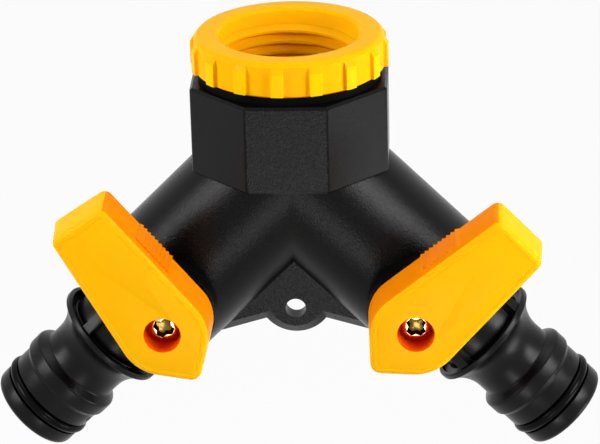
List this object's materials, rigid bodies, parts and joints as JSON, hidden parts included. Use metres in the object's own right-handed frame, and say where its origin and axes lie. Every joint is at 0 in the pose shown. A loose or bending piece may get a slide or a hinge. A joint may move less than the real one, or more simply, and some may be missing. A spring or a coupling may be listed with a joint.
{
  "type": "hose splitter",
  "caption": "Y-shaped garden hose splitter with a screwed-in threaded inlet adapter, a lever ball valve on each arm and click-fit outlet nipples.",
  "frame": {"origin": "centre of the tap washer's upper face, where the tap's end seals inside the threaded inlet", "axes": "+Z along the inlet, up to the tap; the arms spread along X; the levers face -Y"},
  "size_m": [0.1216, 0.048, 0.0878],
  "materials": {
    "black_body": "fine moulded texture, black",
    "black_satin": "satin moulded black",
    "orange_plastic": "smooth moulded orange",
    "black_rubber": "soft black rubber",
    "white_seat": "white low-friction plastic",
    "valve_plastic": "smooth white plastic",
    "screw_metal": "polished plated steel, warm tone"
  },
  "bodies": {
    "splitter_body": {"y_body": "black_body", "socket_washer": "black_rubber", "left_inner_seat": "white_seat", "left_outer_seat": "white_seat", "left_outlet_nipple": "black_satin", "left_plug_o_ring": "black_rubber", "left_outlet_o_ring": "black_rubber", "right_inner_seat": "white_seat", "right_outer_seat": "white_seat", "right_outlet_nipple": "black_satin", "right_plug_o_ring": "black_rubber", "right_outlet_o_ring": "black_rubber"},
    "gasket": {"reducer_gasket": "black_rubber"},
    "reducer": {"thread_reducer": "orange_plastic", "tap_washer": "black_rubber"},
    "left_valve": {"left_valve_ball": "valve_plastic", "left_valve_stem": "black_satin", "left_stem_o_ring": "black_rubber", "left_lever": "orange_plastic", "left_lever_screw": "screw_metal"},
    "right_valve": {"right_valve_ball": "valve_plastic", "right_valve_stem": "black_satin", "right_stem_o_ring": "black_rubber", "right_lever": "orange_plastic", "right_lever_screw": "screw_metal"}
  },
  "joints": [
    {"name": "reducer_lift", "type": "slide", "parent": "splitter_body", "child": "gasket", "axis": [0, 0, 1], "range_m": [0, 0.00694]},
    {"name": "reducer_unscrew", "type": "hinge", "parent": "gasket", "child": "reducer", "pos_m": [0, 0, 0], "axis": [0, 0, 1], "range_deg": [0, 1080]},
    {"name": "left_valve_turn", "type": "hinge", "parent": "splitter_body", "child": "left_valve", "pos_m": [-0.02431, 0, -0.03856], "axis": [0, -1, 0], "range_deg": [0, 101]},
    {"name": "right_valve_turn", "type": "hinge", "parent": "splitter_body", "child": "right_valve", "pos_m": [0.02431, 0, -0.03856], "axis": [0, 1, 0], "range_deg": [-11.4, 88.6]}
  ],
  "couplings": [
    {"joint": "reducer_lift", "follows": "reducer_unscrew", "m_per_rad": 0.00036749}
  ]
}
